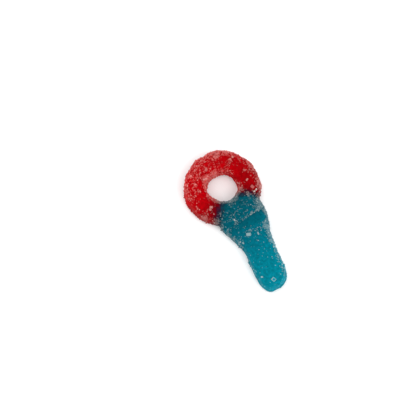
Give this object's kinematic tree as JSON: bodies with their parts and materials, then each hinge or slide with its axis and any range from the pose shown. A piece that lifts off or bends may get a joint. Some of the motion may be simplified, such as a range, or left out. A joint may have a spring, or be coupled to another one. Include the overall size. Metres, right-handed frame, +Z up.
{
  "type": "sour gummy key",
  "caption": "Sugar-coated chewy candy in the shape of a key: a thick ring, a stepped collar and a stubby round-ended blade, lying on its flat back.",
  "frame": {"origin": "middle of the candy's outline, on the flat back that it lies on", "axes": "+X along the key from the ring to the tip of the blade, +Y across it, +Z up through its moulded face"},
  "size_m": [0.0592, 0.0302, 0.0094],
  "materials": {
    "gummy_candy": "satin",
    "sugar_crystal": "satin"
  },
  "bodies": {
    "root": {"gummy_key": "gummy_candy"}
  },
  "joints": []
}
